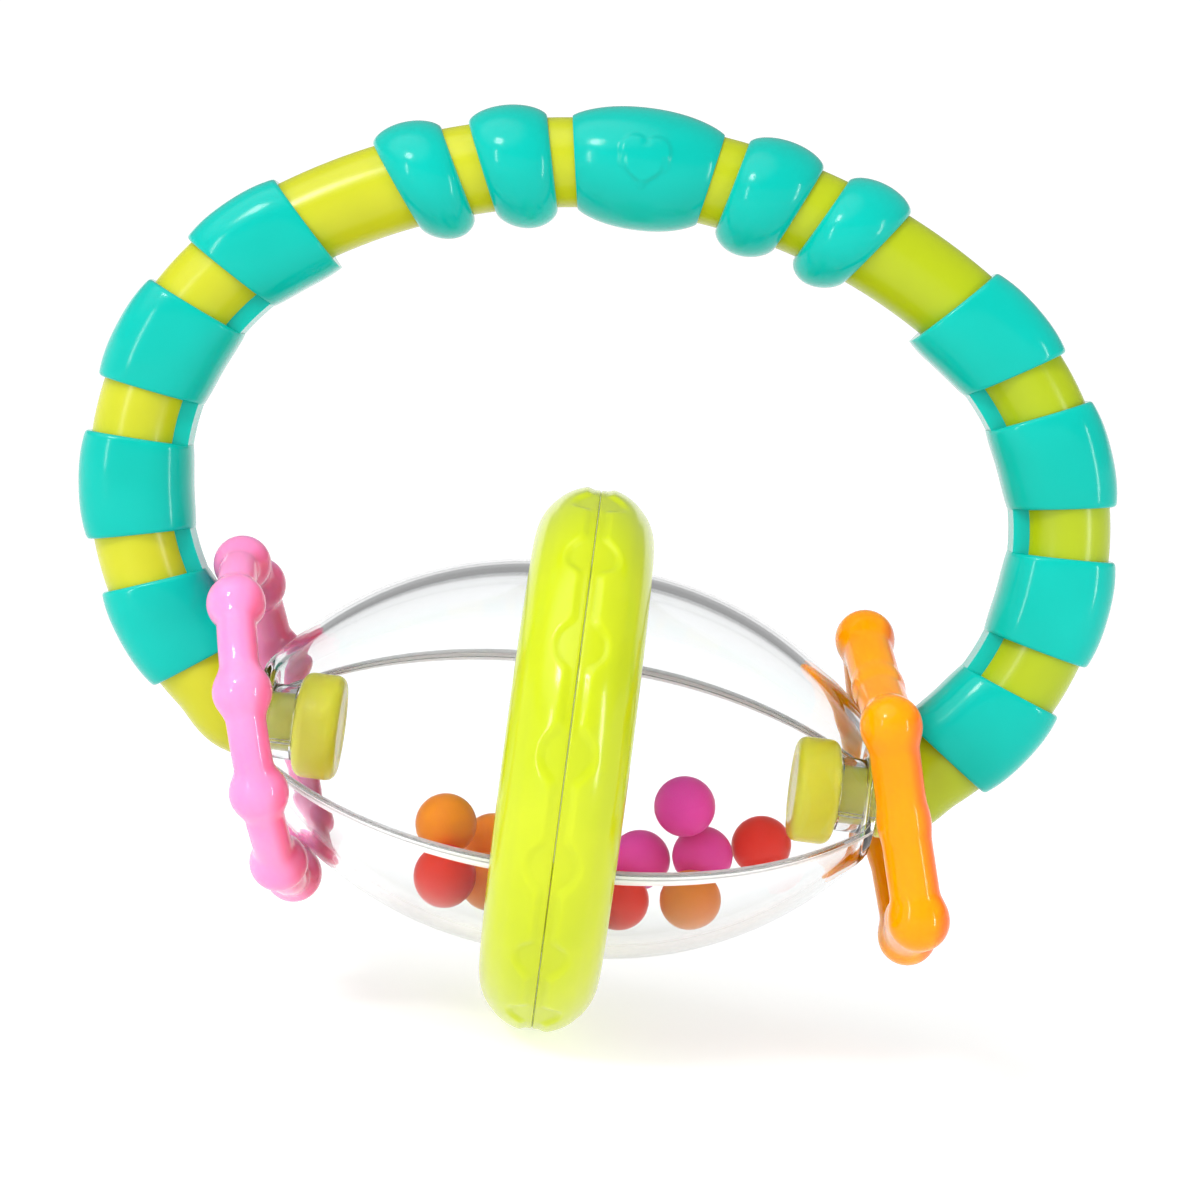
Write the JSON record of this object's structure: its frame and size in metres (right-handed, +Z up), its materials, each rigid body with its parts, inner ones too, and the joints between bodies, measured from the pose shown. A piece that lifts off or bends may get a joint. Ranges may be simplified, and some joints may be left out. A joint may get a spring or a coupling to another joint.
{
  "type": "baby rattle",
  "caption": "Hand-held baby rattle: a C-shaped grip loop carries a clear spinning drum of loose balls and two loose rings on its necks.",
  "frame": {"origin": "on the ground, at the lowest point of the tread ring, straight under the middle of the axle", "axes": "+X along the drum's axle towards the star ring, +Y to the back, +Z up through the grip loop"},
  "size_m": [0.141, 0.0744, 0.1256],
  "materials": {
    "core_plastic": "satin rigid moulding, yellow-green",
    "grip_rubber": "smooth soft overmoulding, teal",
    "clear_plastic": "clear polished shell",
    "lime_plastic": "translucent lime, satin",
    "pink_plastic": "gloss pink",
    "orange_plastic": "gloss translucent orange",
    "orange_ball": "satin orange",
    "red_ball": "satin red",
    "pink_ball": "satin magenta pink"
  },
  "bodies": {
    "handle": {"handle_core": "core_plastic", "grip_left": "grip_rubber", "grip_right": "grip_rubber", "bump_outer_left": "grip_rubber", "bump_inner_left": "grip_rubber", "bump_inner_right": "grip_rubber", "bump_outer_right": "grip_rubber", "badge": "grip_rubber"},
    "drum": {"drum_shell_front": "clear_plastic", "drum_shell_back": "clear_plastic", "tread_left": "lime_plastic", "tread_right": "lime_plastic"},
    "flower": {"flower_ring": "pink_plastic"},
    "star": {"star_ring": "orange_plastic"},
    "balls_left": {"ball_orange_1": "orange_ball", "ball_orange_2": "orange_ball", "ball_orange_3": "orange_ball", "ball_red_1": "red_ball"},
    "balls_middle": {"ball_red_4": "red_ball", "ball_pink_4": "pink_ball"},
    "balls_right": {"ball_orange_4": "orange_ball", "ball_red_2": "red_ball", "ball_red_3": "red_ball", "ball_pink_1": "pink_ball", "ball_pink_2": "pink_ball", "ball_pink_3": "pink_ball"}
  },
  "joints": [
    {"name": "drum_spin", "type": "hinge", "parent": "handle", "child": "drum", "pos_m": [0, 0, 0.0372], "axis": [1, 0, 0], "continuous": true},
    {"name": "flower_spin", "type": "hinge", "parent": "handle", "child": "flower", "pos_m": [-0.041, 0, 0.0372], "axis": [0.9613, 0, 0.2756], "continuous": true},
    {"name": "star_spin", "type": "hinge", "parent": "handle", "child": "star", "pos_m": [0.0445, 0, 0.0375], "axis": [0.9613, 0, 0.2756], "continuous": true},
    {"name": "balls_left_roll", "type": "hinge", "parent": "handle", "child": "balls_left", "pos_m": [0, 0, 0.0372], "axis": [1, 0, 0], "continuous": true},
    {"name": "balls_middle_roll", "type": "hinge", "parent": "handle", "child": "balls_middle", "pos_m": [0, 0, 0.0372], "axis": [1, 0, 0], "continuous": true},
    {"name": "balls_right_roll", "type": "hinge", "parent": "handle", "child": "balls_right", "pos_m": [0, 0, 0.0372], "axis": [1, 0, 0], "continuous": true}
  ]
}
